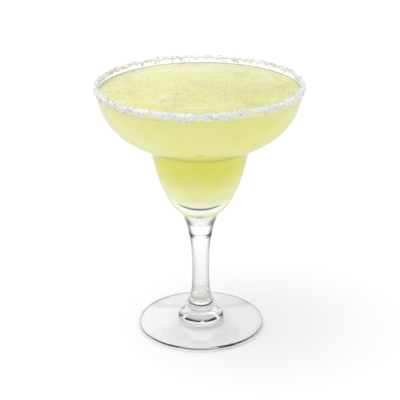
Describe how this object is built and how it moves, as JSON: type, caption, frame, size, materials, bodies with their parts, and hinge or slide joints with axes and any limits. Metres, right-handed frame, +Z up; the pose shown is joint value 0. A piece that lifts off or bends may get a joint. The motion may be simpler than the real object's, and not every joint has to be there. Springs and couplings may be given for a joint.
{
  "type": "margarita cocktail",
  "caption": "Frozen lime cocktail in a stemmed, stepped-bowl glass with a salted rim, filled nearly to the lip.",
  "frame": {"origin": "centre of the foot, on the surface that the glass stands on", "axes": "+Z up along the stem, the glass is turned about it; X and Y are alike"},
  "size_m": [0.1342, 0.1342, 0.1708],
  "materials": {
    "glass": "clear, polished, colourless",
    "drink": "cloudy pale yellow-green slush with a fine icy surface",
    "salt": "coarse white crystals, slightly translucent"
  },
  "bodies": {
    "root": {"glass": "glass", "drink": "drink", "salt_rim": "salt"}
  },
  "joints": []
}
